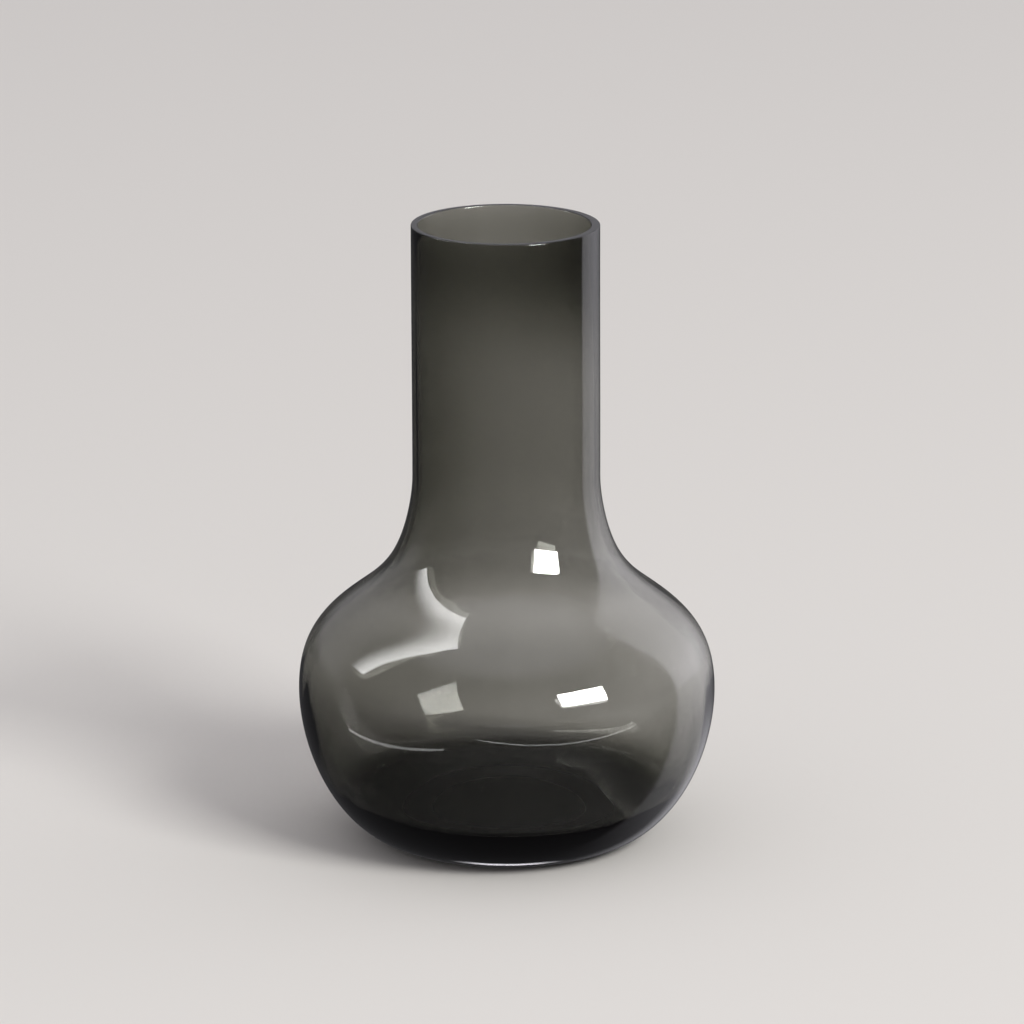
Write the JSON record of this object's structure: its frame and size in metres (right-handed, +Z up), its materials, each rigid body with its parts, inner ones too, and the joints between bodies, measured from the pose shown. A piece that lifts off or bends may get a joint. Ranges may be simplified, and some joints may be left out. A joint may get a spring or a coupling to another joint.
{
  "type": "glass vase",
  "caption": "Bottle-necked round-bellied vase of smoke-grey blown glass that holds cut flowers in water, with a heavy base and an open straight neck.",
  "frame": {"origin": "centre of the foot, on the surface that the vase stands on", "axes": "+Z up along the vase's axis, out of the mouth; the vase is a body of revolution, so +X and +Y are any two level directions at right angles"},
  "size_m": [0.1864, 0.1864, 0.28],
  "materials": {
    "smoke_glass": "fire-polished gloss"
  },
  "bodies": {
    "root": {"glass_vase": "smoke_glass"}
  },
  "joints": []
}
